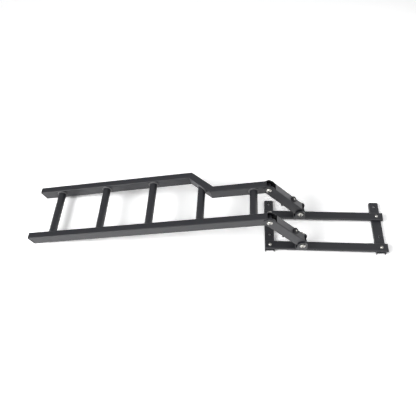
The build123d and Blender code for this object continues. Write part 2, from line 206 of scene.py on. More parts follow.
# Studio: places and sizes in metres, walls by the direction that they lie in
FLOOR_SIZE = 16.0
PAPER, SEEN_PAPER = 0.96, 1.46
FAR_FLOOR = (1.6, 2.6)
WALL_COLOUR = (0.98, 0.99, 1.0, 1.0)
FRONT_TO_BACK = (-0.5, 0.5)
FLOOR_TO_CEILING = (0.0, 1.0)
HORIZON = (0.0, 0.25)
LEFT_WALL, LEFT_WHITE = (-0.7, -0.25), (0.5, 1.4)
RIGHT_WALL, RIGHT_WHITE = (-0.25, 0.2), (1.0, 0.7)
KEY_PLACE, KEY_SIZE = Vector((-4.55, -2.4, 3.7)), (2.7, 2.7)
OVERHEAD_PLACE, OVERHEAD_SIZE = Vector((1.0, -1.5, 4.8)), (6.0, 4.0)
OVERHEAD_AIM = Vector((0.2, -0.1, 0.0))
SIDE_PLACE, SIDE_SIZE = Vector((1.2, 0.95, 0.45)), (0.9, 0.7)
SENSOR_WIDTH = 36.0


class CoatSettings(bpy.types.PropertyGroup):
    """Colours and grain of the finishes."""

    coat_colour: bpy.props.FloatVectorProperty(
        name="Powder coat", description="Colour of the black powder coat",
        subtype="COLOR", size=3, min=0.0, max=1.0, default=(0.0096, 0.0102, 0.0138))
    coat_roughness: bpy.props.FloatProperty(
        name="Coat roughness", description="How dull the powder coat is",
        subtype="FACTOR", min=0.0, max=1.0, default=0.40)
    coat_grain: bpy.props.FloatProperty(
        name="Coat grain", description="Width of one bump of the powder coat",
        unit="LENGTH", subtype="DISTANCE", min=0.0001, default=0.0012)
    # The weld colour is lighter than the coat: a painted highlight on the weld beads
    weld_highlight_colour: bpy.props.FloatVectorProperty(
        name="Welds", description="Colour of the coat where it lies thin on the welds",
        subtype="COLOR", size=3, min=0.0, max=1.0, default=(0.100, 0.100, 0.103))
    zinc_colour: bpy.props.FloatVectorProperty(
        name="Zinc", description="Colour of the plated bolts and nuts",
        subtype="COLOR", size=3, min=0.0, max=1.0, default=(0.56, 0.56, 0.55))
    rubber_colour: bpy.props.FloatVectorProperty(
        name="Rubber", description="Colour of the bumpers and foot plugs",
        subtype="COLOR", size=3, min=0.0, max=1.0, default=(0.010, 0.010, 0.011))
    nylon_colour: bpy.props.FloatVectorProperty(
        name="Nylon", description="Colour of the thrust washers and nut rings",
        subtype="COLOR", size=3, min=0.0, max=1.0, default=(0.050, 0.050, 0.055))


class WeldSettings(bpy.types.PropertyGroup):
    """Sizes of the weld beads."""

    rung_bead: bpy.props.FloatProperty(
        name="Rung bead", description="Half width of the bead round a rung end",
        unit="LENGTH", subtype="DISTANCE", min=0.0005, default=0.0050)
    hinge_bead: bpy.props.FloatProperty(
        name="Hinge bead", description="Half width of the beads on the hinge blocks",
        unit="LENGTH", subtype="DISTANCE", min=0.0005, default=0.0024)
    ripple_length: bpy.props.FloatProperty(
        name="Ripple length", description="Length of one ripple along a bead",
        unit="LENGTH", subtype="DISTANCE", min=0.0005, default=0.0026)
    ripple_depth: bpy.props.FloatProperty(
        name="Ripple depth", description="Depth of the grooves between ripples",
        unit="LENGTH", subtype="DISTANCE", min=0.0, default=0.00035)
    jog_run: bpy.props.FloatProperty(
        name="Jog run", description="Length of the jog along the far rail",
        unit="LENGTH", subtype="DISTANCE", min=0.01, default=0.100)
    jog_width: bpy.props.FloatProperty(
        name="Jog width", description="How far the jog brings the far rail in",
        unit="LENGTH", subtype="DISTANCE", min=0.01, default=0.088)


class FastenerSettings(bpy.types.PropertyGroup):
    """Sizes of the bolts, nuts and studs."""

    pivot_diameter: bpy.props.FloatProperty(
        name="Pivot bolt", description="Thread diameter of the pivot bolts",
        unit="LENGTH", subtype="DISTANCE", min=0.002, default=0.012)
    pivot_pitch: bpy.props.FloatProperty(
        name="Pivot pitch", description="Thread pitch of the pivot bolts",
        unit="LENGTH", subtype="DISTANCE", min=0.0002, default=0.00175)
    pivot_flats: bpy.props.FloatProperty(
        name="Pivot flats", description="Width across flats of the pivot nuts",
        unit="LENGTH", subtype="DISTANCE", min=0.002, default=0.019)
    pivot_socket: bpy.props.FloatProperty(
        name="Pivot socket", description="Width across flats of the socket in a pivot bolt's head",
        unit="LENGTH", subtype="DISTANCE", min=0.001, default=0.008)
    pivot_thread: bpy.props.FloatProperty(
        name="Pivot thread", description="Threaded length of a pivot bolt",
        unit="LENGTH", subtype="DISTANCE", min=0.002, default=0.028)
    small_diameter: bpy.props.FloatProperty(
        name="Small bolt", description="Thread diameter of the base bolts and stop studs",
        unit="LENGTH", subtype="DISTANCE", min=0.002, default=0.008)
    small_pitch: bpy.props.FloatProperty(
        name="Small pitch", description="Thread pitch of the base bolts and stop studs",
        unit="LENGTH", subtype="DISTANCE", min=0.0002, default=0.00125)
    small_flats: bpy.props.FloatProperty(
        name="Small flats", description="Width across flats of the small nuts",
        unit="LENGTH", subtype="DISTANCE", min=0.002, default=0.013)
    small_socket: bpy.props.FloatProperty(
        name="Small socket", description="Width across flats of the socket in a base bolt's head",
        unit="LENGTH", subtype="DISTANCE", min=0.001, default=0.005)


class StageSettings(bpy.types.PropertyGroup):
    """Camera and light of the studio."""

    view_target: bpy.props.FloatVectorProperty(
        name="View target", description="Point on the floor at the middle of the picture",
        subtype="TRANSLATION", unit="LENGTH", size=3, default=(-0.52637, 0.06343, FLOOR_LEVEL))
    view_distance: bpy.props.FloatProperty(
        name="View distance", description="From the camera to the view target",
        unit="LENGTH", subtype="DISTANCE", min=0.1, default=2.20941)
    view_turn: bpy.props.FloatProperty(
        name="View turn", description="Turn of the camera to the right",
        subtype="ANGLE", default=math.radians(-5.615))
    view_tilt: bpy.props.FloatProperty(
        name="View tilt", description="How far the camera looks down",
        subtype="ANGLE", default=math.radians(56.505))
    view_roll: bpy.props.FloatProperty(
        name="View roll", description="Roll of the camera",
        subtype="ANGLE", default=math.radians(-3.37))
    lens: bpy.props.FloatProperty(
        name="Lens", description="Focal length on a 36 mm frame",
        unit="CAMERA", min=5.0, default=40.475)
    key_power: bpy.props.FloatProperty(
        name="Key light", description="Power of the soft light on the left in front",
        unit="POWER", min=0.0, default=290.0)
    overhead_power: bpy.props.FloatProperty(
        name="Overhead light", description="Power of the large soft light above the ladder",
        unit="POWER", min=0.0, default=140.0)
    side_power: bpy.props.FloatProperty(
        name="Side light", description="Power of the soft light behind the base on the right",
        unit="POWER", min=0.0, default=4.2)
    back_strength: bpy.props.FloatProperty(
        name="Back of the studio", description="Light from the studio's walls behind the ladder",
        min=0.0, default=0.10)
    front_strength: bpy.props.FloatProperty(
        name="Front of the studio",
        description="Light from the studio's walls on the camera's side",
        min=0.0, default=0.12)
    ceiling_white: bpy.props.FloatProperty(
        name="Ceiling white",
        description="How white the studio looks straight up, where 1 is white",
        subtype="FACTOR", min=0.0, max=1.0, default=0.34)


class LadderSettings(bpy.types.PropertyGroup):
    """All settings of the tailgate ladder."""

    coat: bpy.props.PointerProperty(type=CoatSettings)
    weld: bpy.props.PointerProperty(type=WeldSettings)
    fastener: bpy.props.PointerProperty(type=FastenerSettings)
    stage: bpy.props.PointerProperty(type=StageSettings)


def settings():
    """Gives the settings kept with the scene."""
    return bpy.context.scene.tailgate_ladder


def clear_selection():
    """Leaves nothing selected and Blender in object mode."""
    if bpy.context.object and bpy.context.object.mode != "OBJECT":
        bpy.ops.object.mode_set(mode="OBJECT")
    bpy.ops.object.select_all(action="DESELECT")


def take_up(piece):
    """Makes one piece the only selected and the active one."""
    clear_selection()
    piece.select_set(True)
    bpy.context.view_layer.objects.active = piece


def start_edit(piece):
    """Opens a piece in edit mode."""
    take_up(piece)
    bpy.ops.object.mode_set(mode="EDIT")


def end_edit():
    """Goes back to object mode."""
    bpy.ops.object.mode_set(mode="OBJECT")


def pick(piece, kind, wanted):
    """In edit mode, selects the corners, edges or faces for which the test holds."""
    bpy.ops.mesh.select_mode(type=kind)
    bpy.ops.mesh.select_all(action="DESELECT")
    mesh = bmesh.from_edit_mesh(piece.data)
    for part in {"VERT": mesh.verts, "EDGE": mesh.edges, "FACE": mesh.faces}[kind]:
        part.select_set(wanted(part))
    mesh.select_flush_mode()
    bmesh.update_edit_mesh(piece.data)


def settle(piece):
    """Applies a piece's place, turn and scale to its mesh."""
    take_up(piece)
    bpy.ops.object.transform_apply(location=True, rotation=True, scale=True)


def set_down(piece, along, up, at):
    """Moves a piece so that its x goes along, its z goes up and its origin goes to a point."""
    side = up.cross(along)
    turn = Matrix((along, side, up)).transposed().to_4x4()
    piece.matrix_world = Matrix.Translation(at) @ turn
    settle(piece)


def newest(name):
    """Names what was just added and gives it."""
    piece = bpy.context.object
    piece.name = name
    return piece


def twin(piece, name):
    """Copies a piece with a mesh of its own."""
    take_up(piece)
    bpy.ops.object.duplicate(linked=False)
    return newest(name)


def shape_by(piece, tool, operation):
    """Cuts or trims a piece with a tool and throws the tool away."""
    take_up(piece)
    trim = piece.modifiers.new("trim", "BOOLEAN")
    trim.operation = operation
    trim.solver = "EXACT"
    trim.object = tool
    bpy.ops.object.modifier_apply(modifier=trim.name)
    bpy.data.objects.remove(tool)


def soften(piece, width, segments=2):
    """Rounds the sharp edges of a piece."""
    take_up(piece)
    rounding = piece.modifiers.new("rounding", "BEVEL")
    rounding.width = width
    rounding.segments = segments
    rounding.limit_method = "ANGLE"
    rounding.angle_limit = math.radians(SHARP_ANGLE)
    bpy.ops.object.modifier_apply(modifier=rounding.name)


def smooth(piece, degrees=SMOOTH_ANGLE):
    """Shades a piece smooth except across its sharp edges."""
    take_up(piece)
    bpy.ops.object.shade_smooth_by_angle(angle=math.radians(degrees))


def join_up(pieces, name):
    """Joins pieces into one."""
    clear_selection()
    for piece in pieces:
        piece.select_set(True)
    bpy.context.view_layer.objects.active = pieces[0]
    bpy.ops.object.join()
    joined = newest(name)
    joined.data.name = name
    return joined


def hand_over(piece, body, slot, nodes=(), look=None):
    """Gives a finished piece its finish, its body and the nodes that it stands for."""
    piece.data.materials.clear()
    piece.data.materials.append(finish(look or slot))
    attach(piece, body)
    if nodes:
        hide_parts(*nodes)
    clear_selection()


def add_node(tree, kind, values=None, **options):
    """Adds a node to a material with its values and options."""
    made = tree.nodes.new(kind)
    for name, value in options.items():
        setattr(made, name, value)
    for name, value in (values or {}).items():
        made.inputs[name].default_value = value
    return made


def map_range(tree, source, limits, lowest=0.0, highest=1.0):
    """Maps a value between two limits to a range, whose upper end may be linked."""
    span = add_node(tree, "ShaderNodeMapRange", {
        "From Min": limits[0], "From Max": limits[1], "To Min": lowest})
    tree.links.new(source, span.inputs["Value"])
    if isinstance(highest, bpy.types.NodeSocket):
        tree.links.new(highest, span.inputs["To Max"])
    else:
        span.inputs["To Max"].default_value = highest
    return span.outputs["Result"]


def combine(tree, operation, first, second, **options):
    """Works out one value from two linked ones."""
    sum_node = add_node(tree, "ShaderNodeMath", operation=operation, **options)
    tree.links.new(first, sum_node.inputs[0])
    tree.links.new(second, sum_node.inputs[1])
    return sum_node.outputs["Value"]


def mix_shaders(tree, factor, first, second):
    """Mixes two shaders by a linked factor."""
    mix = add_node(tree, "ShaderNodeMixShader")
    for number, source in enumerate((factor, first, second)):
        tree.links.new(source, mix.inputs[number])
    return mix.outputs[0]


def noise_of(tree, width, layers):
    """Adds cloudy noise in layers, whose spots are about this wide on the piece."""
    place = add_node(tree, "ShaderNodeTexCoord")
    noise = add_node(tree, "ShaderNodeTexNoise", {
        "Scale": 1.0 / width, "Detail": layers, "Roughness": NOISE_ROUGHNESS})
    tree.links.new(place.outputs["Object"], noise.inputs["Vector"])
    return noise.outputs["Fac"]


def spread(tree, noise, lowest=0.0, highest=1.0):
    """Maps noise from the middle of its range to two limits."""
    return map_range(tree, noise, NOISE_MIDDLE, lowest, highest)


def blend_colours(tree, factor, first, second):
    """Mixes two colours, given or linked, by a factor."""
    mix = add_node(tree, "ShaderNodeMix", data_type="RGBA")
    tree.links.new(factor, mix.inputs["Factor"])
    for socket, colour in (("A", first), ("B", second)):
        target = [one for one in mix.inputs if one.name == socket and one.type == "RGBA"][0]
        if isinstance(colour, bpy.types.NodeSocket):
            tree.links.new(colour, target)
        else:
            target.default_value = (*colour, 1.0)
    return [one for one in mix.outputs if one.type == "RGBA"][0]


def raise_grain(tree, shader, noise, height, strength):
    """Puts a fine bump on a finish."""
    bump = add_node(tree, "ShaderNodeBump", {"Distance": height, "Strength": strength})
    tree.links.new(noise, bump.inputs["Height"])
    tree.links.new(bump.outputs["Normal"], shader.inputs["Normal"])


def edge_share(tree, radius):
    """Measures how near a point is to a sharp edge."""
    rounded = add_node(tree, "ShaderNodeBevel", {"Radius": radius}, samples=EDGE_SAMPLES)
    flat = add_node(tree, "ShaderNodeNewGeometry")
    meet = add_node(tree, "ShaderNodeVectorMath", operation="DOT_PRODUCT")
    tree.links.new(rounded.outputs["Normal"], meet.inputs[0])
    tree.links.new(flat.outputs["Normal"], meet.inputs[1])
    return map_range(tree, meet.outputs["Value"], FLAT_TO_SHARP)


def recess_shade_share(tree, reach):
    """Measures how deep a point sits in a socket, groove or corner of its piece, for the painted shade there."""
    open_share = add_node(tree, "ShaderNodeAmbientOcclusion", {"Distance": reach},
                          samples=RECESS_SAMPLES, only_local=True)
    return map_range(tree, open_share.outputs["AO"], OPEN_TO_DEEP)


def new_finish():
    """Starts a material and gives its tree and shader."""
    material = bpy.data.materials.new("finish")
    material.use_nodes = True
    tree = material.node_tree
    return material, tree, tree.nodes["Principled BSDF"]


def shade_of(colour, factor):
    """Gives a lighter or darker shade of a colour."""
    return tuple(min(1.0, part * factor) for part in colour)


def powder_coat(black=None):
    """Makes the fine black powder coat, or one of another colour, with painted shade inside tubes, channels and
    corners.
    """
    coat = settings().coat
    black = black or tuple(coat.coat_colour)
    material, tree, shader = new_finish()
    shader.inputs["IOR"].default_value = COAT_IOR
    shader.inputs["Specular IOR Level"].default_value = COAT_GLOSS
    grain = noise_of(tree, coat.coat_grain, SOME_LAYERS)
    cloud = noise_of(tree, COAT_CLOUD, SOME_LAYERS)
    speck = noise_of(tree, COAT_SPECK, FEW_LAYERS)
    even = blend_colours(tree, spread(tree, cloud), shade_of(black, COAT_DARK),
                         shade_of(black, COAT_LIGHT))
    flecked = blend_colours(tree, spread(tree, speck, 0.0, FLECK_SHARE), even,
                            shade_of(black, FLECK_LIGHT))
    worn = combine(tree, "MULTIPLY", edge_share(tree, COAT_EDGE), spread(tree, cloud, *WEAR))
    edged = blend_colours(tree, worn, flecked, shade_of(black, WEAR_LIGHT))
    # Painted shade: colour and reflection turn darker deep inside tubes, channels and corners, and the same mask
    # makes the coat duller there
    inside = recess_shade_share(tree, COAT_SHADE_REACH)
    colour = blend_colours(tree, inside, edged, shade_of(black, INSIDE_PAINTED_SHADE))
    tree.links.new(colour, shader.inputs["Base Color"])
    gloss = blend_colours(tree, inside, FULL_GLOSS, INSIDE_SHADED_GLOSS)
    tree.links.new(gloss, shader.inputs["Specular Tint"])
    even_rough = spread(tree, speck, coat.coat_roughness - COAT_SMOOTHER,
                        coat.coat_roughness + COAT_ROUGHER)
    rough = combine(tree, "MAXIMUM", even_rough, inside)
    tree.links.new(rough, shader.inputs["Roughness"])
    raise_grain(tree, shader, grain, *COAT_BUMP)
    return material


def weld_highlight_coat():
    """Makes a lighter coat for the welds, a painted highlight on their ripples."""
    return powder_coat(tuple(settings().coat.weld_highlight_colour))


def zinc():
    """Makes the bright plated finish of bolts and nuts, with grime and painted shade in their recesses."""
    plate = tuple(settings().coat.zinc_colour)
    material, tree, shader = new_finish()
    shader.inputs["Metallic"].default_value = 1.0
    cloud = noise_of(tree, ZINC_CLOUD, MANY_LAYERS)
    scratch = noise_of(tree, ZINC_SCRATCH, FEW_LAYERS)
    tinted = tuple(part * tint for part, tint in zip(plate, ZINC_TINT))
    colour = blend_colours(tree, spread(tree, cloud), shade_of(plate, ZINC_DARK), tinted)
    # Grime and painted shade: the colour turns darker deep in sockets, threads and grooves
    grime_and_shade = blend_colours(tree, recess_shade_share(tree, GRIME_AND_SHADE_REACH), colour,
                          shade_of(plate, GRIME_AND_SHADE_DARK))
    tree.links.new(grime_and_shade, shader.inputs["Base Color"])
    tree.links.new(spread(tree, scratch, *ZINC_ROUGHNESS), shader.inputs["Roughness"])
    raise_grain(tree, shader, scratch, *ZINC_BUMP)
    return material


def rubber():
    """Makes the matt black rubber of bumpers and plugs."""
    black = tuple(settings().coat.rubber_colour)
    material, tree, shader = new_finish()
    shader.inputs["Specular IOR Level"].default_value = RUBBER_GLOSS
    grain = noise_of(tree, RUBBER_GRAIN, SOME_LAYERS)
    dust = noise_of(tree, RUBBER_DUST, MANY_LAYERS)
    colour = blend_colours(tree, spread(tree, dust), black, shade_of(black, DUST_LIGHT))
    tree.links.new(colour, shader.inputs["Base Color"])
    tree.links.new(spread(tree, dust, *RUBBER_ROUGHNESS), shader.inputs["Roughness"])
    raise_grain(tree, shader, grain, *RUBBER_BUMP)
    return material


def nylon():
    """Makes the dark moulded nylon of washers and nut rings."""
    grey = tuple(settings().coat.nylon_colour)
    material, tree, shader = new_finish()
    cloud = noise_of(tree, NYLON_CLOUD, SOME_LAYERS)
    grain = noise_of(tree, NYLON_GRAIN, FEW_LAYERS)
    colour = blend_colours(tree, spread(tree, cloud), shade_of(grey, NYLON_DARK),
                           shade_of(grey, NYLON_LIGHT))
    tree.links.new(colour, shader.inputs["Base Color"])
    tree.links.new(spread(tree, grain, *NYLON_ROUGHNESS), shader.inputs["Roughness"])
    raise_grain(tree, shader, grain, *NYLON_BUMP)
    return material


FINISHES = {"powder_coat": powder_coat, "weld_highlight_coat": weld_highlight_coat, "zinc": zinc, "rubber": rubber,
            "nylon": nylon}


def finish(slot):
    """Gives the material of a slot, made on first use."""
    name = slot + "_finish"
    if name not in bpy.data.materials:
        FINISHES[slot]().name = name
    return bpy.data.materials[name]


def weld_ring(name, radius, bead, ripple, depth):
    """Models one rippled weld bead round a tube, lying flat at the origin."""
    clear_selection()
    count = 2 * round(math.tau * radius / ripple)
    bpy.ops.mesh.primitive_torus_add(
        major_segments=count, minor_segments=BEAD_SIDES, major_radius=radius, minor_radius=bead)
    ring = newest(name)

    def in_groove(corner):
        turn = math.atan2(corner.co.y, corner.co.x) / math.tau * count
        return round(turn) % 2 == 1

    start_edit(ring)
    pick(ring, "VERT", in_groove)
    bpy.ops.transform.shrink_fatten(value=-depth)
    end_edit()
    ring.scale.z = RING_FLATNESS
    settle(ring)
    smooth(ring, BEAD_SMOOTH)
    return ring


def weld_run(name, length, bead, ripple, depth):
    """Models one rippled straight weld bead along x, with round ends."""
    clear_selection()
    count = 2 * round(length / ripple)
    bpy.ops.mesh.primitive_cylinder_add(
        vertices=BEAD_SIDES, radius=bead, depth=length, rotation=(0.0, math.pi / 2.0, 0.0))
    run = newest(name)
    settle(run)
    start_edit(run)
    pick(run, "EDGE", lambda edge: abs(edge.verts[0].co.x - edge.verts[1].co.x) > length / 2.0)
    bpy.ops.mesh.subdivide(number_cuts=count - 1)
    step = length / count

    def in_groove(corner):
        place = round((corner.co.x + length / 2.0) / step)
        return place % 2 == 1

    pick(run, "VERT", in_groove)
    bpy.ops.transform.shrink_fatten(value=-depth)
    for end in (-1.0, 1.0):
        pick(run, "FACE", lambda face: face.normal.x * end > FACING)
        for reach, taper in BEAD_END_STEPS:
            bpy.ops.mesh.extrude_region_move(
                TRANSFORM_OT_translate={"value": (end * bead * reach, 0.0, 0.0)})
            bpy.ops.transform.resize(value=(1.0, taper, taper))
    end_edit()
    smooth(run, BEAD_SMOOTH)
    return run


def cut_level(height, facing):
    """In edit mode, cuts a mesh level at a height and drops the side that the cut faces."""
    bpy.ops.mesh.select_all(action="SELECT")
    bpy.ops.mesh.bisect(plane_co=(0.0, 0.0, height), plane_no=(0.0, 0.0, facing),
                        use_fill=True, clear_outer=True)


def threaded_rod(name, diameter, pitch, length):
    """Models a threaded rod that hangs down from the origin, with a real helical thread."""
    depth = THREAD_DEPTH * pitch
    tip = THREAD_TIP * pitch
    clear_selection()
    bpy.ops.mesh.primitive_plane_add(size=1.0)
    rod = newest(name)
    start_edit(rod)
    pick(rod, "VERT", lambda corner: corner.co.x > 0.0 and corner.co.y > 0.0)
    bpy.ops.mesh.delete(type="VERT")
    end_edit()
    rod.rotation_euler.z = math.pi / 4.0
    settle(rod)
    rod.scale = (pitch / math.sqrt(2.0), depth * math.sqrt(2.0), 1.0)
    settle(rod)
    flank = Matrix(((0.0, -1.0, 0.0), (0.0, 0.0, -1.0), (1.0, 0.0, 0.0))).to_4x4()
    rod.matrix_world = Matrix.Translation((diameter / 2.0 - depth, 0.0, 0.0)) @ flank
    settle(rod)
    winding = rod.modifiers.new("winding", "SCREW")
    winding.axis = "Z"
    winding.steps = THREAD_STEPS
    winding.render_steps = THREAD_STEPS
    winding.angle = math.tau
    winding.screw_offset = pitch
    winding.iterations = math.ceil(length / pitch) + SPARE_TURNS
    winding.use_merge_vertices = True
    winding.merge_threshold = pitch / MERGE_PART
    winding.use_normal_calculate = True
    bpy.ops.object.modifier_apply(modifier=winding.name)
    rod.location.z = -length - SPARE_TURNS / 2.0 * pitch
    settle(rod)
    start_edit(rod)
    bpy.ops.mesh.select_all(action="SELECT")
    bpy.ops.mesh.remove_doubles(threshold=pitch / MERGE_PART)
    cut_level(0.0, 1.0)
    cut_level(tip - length, -1.0)
    pick(rod, "FACE", lambda face: face.normal.z < -LEVEL and len(face.verts) > TIP_CORNERS)
    bpy.ops.mesh.extrude_region_move(TRANSFORM_OT_translate={"value": (0.0, 0.0, -tip)})
    bpy.ops.transform.resize(value=(TIP_TAPER, TIP_TAPER, 1.0))
    bpy.ops.mesh.select_all(action="SELECT")
    bpy.ops.mesh.normals_make_consistent(inside=False)
    end_edit()
    smooth(rod, THREAD_SMOOTH)
    return rod


def hexagon(name, flats, height):
    """Models a hexagon chamfered at both ends that stands on the origin."""
    clear_selection()
    bpy.ops.mesh.primitive_cylinder_add(
        vertices=6, radius=flats / math.sqrt(3.0), depth=height, location=(0.0, 0.0, height / 2.0))
    block = newest(name)
    settle(block)
    crown = CROWN_SHARE * flats
    for turn in (0.0, math.pi):
        clear_selection()
        bpy.ops.mesh.primitive_cone_add(
            vertices=HEAD_SIDES, radius1=crown + height * math.sqrt(3.0), radius2=crown,
            depth=height, location=(0.0, 0.0, height / 2.0), rotation=(turn, 0.0, 0.0))
        shape_by(block, bpy.context.object, "INTERSECT")
    return block


def round_bar(name, radius, length, top=0.0, vertices=BAR_SIDES):
    """Models a round bar that hangs down from a height."""
    clear_selection()
    bpy.ops.mesh.primitive_cylinder_add(
        vertices=vertices, radius=radius, depth=length, location=(0.0, 0.0, top - length / 2.0))
    bar = newest(name)
    settle(bar)
    return bar


def domed_head(name, radius, height, socket):
    """Models a domed bolt head with a hexagon socket, standing on the origin."""
    ball = (radius ** 2 + height ** 2) / (2.0 * height)
    clear_selection()
    bpy.ops.mesh.primitive_uv_sphere_add(
        segments=HEAD_SIDES, ring_count=HEAD_SIDES, radius=ball,
        location=(0.0, 0.0, height - ball))
    dome = newest(name)
    settle(dome)
    start_edit(dome)
    cut_level(0.0, -1.0)
    end_edit()
    clear_selection()
    bpy.ops.mesh.primitive_cylinder_add(
        vertices=6, radius=socket / math.sqrt(3.0), depth=height,
        location=(0.0, 0.0, SOCKET_MIDDLE * height))
    shape_by(dome, bpy.context.object, "DIFFERENCE")
    soften(dome, BOLT_EDGE)
    smooth(dome)
    return dome


def pivot_bolt(name, radius, height, length):
    """Models a pivot bolt: head up from the origin, shank and thread down."""
    fastener = settings().fastener
    head = domed_head(name + "_head", radius, height, fastener.pivot_socket)
    plain = length - fastener.pivot_thread
    shank = round_bar(name + "_shank", fastener.pivot_diameter / 2.0, plain + OVERLAP, OVERLAP)
    soften(shank, BOLT_EDGE)
    smooth(shank)
    thread = threaded_rod(name + "_thread", fastener.pivot_diameter, fastener.pivot_pitch,
                          fastener.pivot_thread + OVERLAP)
    thread.location.z = OVERLAP - plain
    settle(thread)
    return join_up([head, shank, thread], name)


def bore_out(piece, radius, depth, top, vertices=NUT_SIDES):
    """Drills a round hole down into a piece from a height."""
    hole = round_bar(piece.name + "_hole", radius, depth, top, vertices)
    shape_by(piece, hole, "DIFFERENCE")


def lock_nut(name, flats, bore, height, ring_radius, ring_height):
    """Models a nut with a round collar and a seat for a ring, standing on the origin."""
    collar_height = COLLAR_SHARE * height
    body = hexagon(name, flats, height - collar_height)
    collar = round_bar(name + "_collar", COLLAR_RADIUS * flats, collar_height + COLLAR_OVERLAP,
                       height, NUT_SIDES)
    soften(collar, COLLAR_EDGE, COLLAR_STEPS)
    shape_by(body, collar, "UNION")
    bore_out(body, bore / 2.0, 2.0 * height, 1.5 * height)
    bore_out(body, ring_radius, 2.0 * ring_height, height + ring_height)
    soften(body, NUT_EDGE)
    smooth(body)
    return body


def plain_nut(name, flats, bore, height):
    """Models a plain chamfered nut that stands on the origin."""
    body = hexagon(name, flats, height)
    bore_out(body, bore / 2.0, 2.0 * height, 1.5 * height, BAR_SIDES)
    soften(body, NUT_EDGE)
    smooth(body)
    return body


def nut_ring(name, inner, outer, height, top):
    """Models the nylon ring in a lock nut's collar."""
    ring = round_bar(name, outer, height, top, NUT_SIDES)
    bore_out(ring, inner, 3.0 * height, top + height)
    soften(ring, NUT_EDGE)
    smooth(ring)
    return ring


def pivots():
    """Lists the start of each pivot's node names, its body and the way its flats lie."""
    for side in SIDES:
        yield side + "_ladder_pivot_", side + "_arm", DOWN_THE_ARM
        yield side + "_base_pivot_", "base", ALONG


class DressFrame(bpy.types.Operator):
    """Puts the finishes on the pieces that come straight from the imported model"""

    bl_idname = "tailgate_ladder.dress_frame"
    bl_label = "Coat the frame"

    def execute(self, context):
        for row in frame["record"]["subparts"]:
            piece = frame["nodes"][row["node"]]
            piece.data.materials.clear()
            piece.data.materials.append(finish(row["material_slot"]))
        clear_selection()
        return {"FINISHED"}


class RungWelds(bpy.types.Operator):
    """Lays a weld bead round both ends of each rung"""

    bl_idname = "tailgate_ladder.rung_welds"
    bl_label = "Weld the rungs"

    def execute(self, context):
        weld = settings().weld
        pattern = weld_ring("weld_pattern", RUNG_RADIUS + RING_CLEARANCE, weld.rung_bead,
                            weld.ripple_length, weld.ripple_depth)
        slope = math.atan2(weld.jog_width, weld.jog_run)
        for number, rung in enumerate(RUNGS):
            centre = middle(rung)
            near_ring = self.turned(pattern, rung + "_near_weld", number, *NEAR_RING_TURN)
            set_down(near_ring, UP_THE_LADDER, ACROSS, Vector((centre.x, low(rung).y, centre.z)))
            far_ring = self.turned(pattern, rung + "_far_weld", number, *FAR_RING_TURN)
            if rung == WELDED_RUNG_ON_JOG:
                far_ring.scale.x = 1.0 / math.cos(slope)
                settle(far_ring)
                along = UP_THE_LADDER * math.cos(slope) - ACROSS * math.sin(slope)
                face = UP_THE_LADDER * math.sin(slope) + ACROSS * math.cos(slope)
                reach = high(rung).y - RUNG_RADIUS * math.tan(slope)
            else:
                along = UP_THE_LADDER
                face = ACROSS
                reach = high(rung).y
            set_down(far_ring, along, face, Vector((centre.x, reach, centre.z)))
            # The welds take the lighter coat, a painted highlight
            hand_over(join_up([near_ring, far_ring], rung + "_welds"), "ladder", "powder_coat",
                      look="weld_highlight_coat")
        bpy.data.objects.remove(pattern)
        return {"FINISHED"}

    def turned(self, pattern, name, number, start, step):
        """Copies the ring, turned so that its ripples start elsewhere on each rung."""
        ring = twin(pattern, name)
        ring.rotation_euler.z = start + step * number
        settle(ring)
        return ring


class HingeWelds(bpy.types.Operator):
    """Lays weld beads where the hinge blocks meet the bars and the ears meet the blocks"""

    bl_idname = "tailgate_ladder.hinge_welds"
    bl_label = "Weld the hinges"

    def execute(self, context):
        bead = settings().weld.hinge_bead
        sunk = BEAD_SINK * bead
        for side in SIDES:
            block, ear = side + "_hinge_block", side + "_outer_ear"
            centre, ear_foot = middle(block), low(ear).z
            runs = []
            for edge, outward in ((low(block).x, -1.0), (high(block).x, 1.0)):
                run = self.run("end_run", END_RUN * (high(block).y - low(block).y))
                set_down(run, ACROSS, UP,
                         Vector((edge + outward * sunk, centre.y, BAR_TOP + sunk)))
                runs.append(run)
            for face, outward in ((low(block).y, -1.0), (high(block).y, 1.0)):
                seam = self.run("seam_run", SEAM_RUN * (high(block).x - low(block).x))
                set_down(seam, ALONG, UP,
                         Vector((centre.x, face - outward * SEAM_INSET * bead, BAR_TOP)))
                foot = self.run("foot_run", FOOT_RUN * (high(ear).x - low(ear).x))
                set_down(foot, ALONG, UP,
                         Vector((centre.x, face + outward * sunk, ear_foot - sunk)))
                runs += [seam, foot]
            # The welds take the lighter coat, a painted highlight
            hand_over(join_up(runs, side + "_hinge_welds"), "base", "powder_coat",
                      look="weld_highlight_coat")
        return {"FINISHED"}

    def run(self, name, length):
        """Models one bead of the hinge welds."""
        weld = settings().weld
        return weld_run(name, length, weld.hinge_bead, weld.ripple_length, weld.ripple_depth)


class PivotBolts(bpy.types.Operator):
    """Models the four round-headed pivot bolts with their sockets and threads"""

    bl_idname = "tailgate_ladder.pivot_bolts"
    bl_label = "Pivot bolts"

    def execute(self, context):
        for pivot, body, along in pivots():
            node = pivot + "bolt"
            seat = low(pivot + "washers").y
            radius = (high(node).x - low(node).x) / 2.0
            bolt = pivot_bolt(node + "_threaded", radius, seat - low(node).y,
                              high(node).y - seat)
            set_down(bolt, along, -ACROSS, Vector((middle(node).x, seat, middle(node).z)))
            hand_over(bolt, body, "zinc", [node])
        return {"FINISHED"}


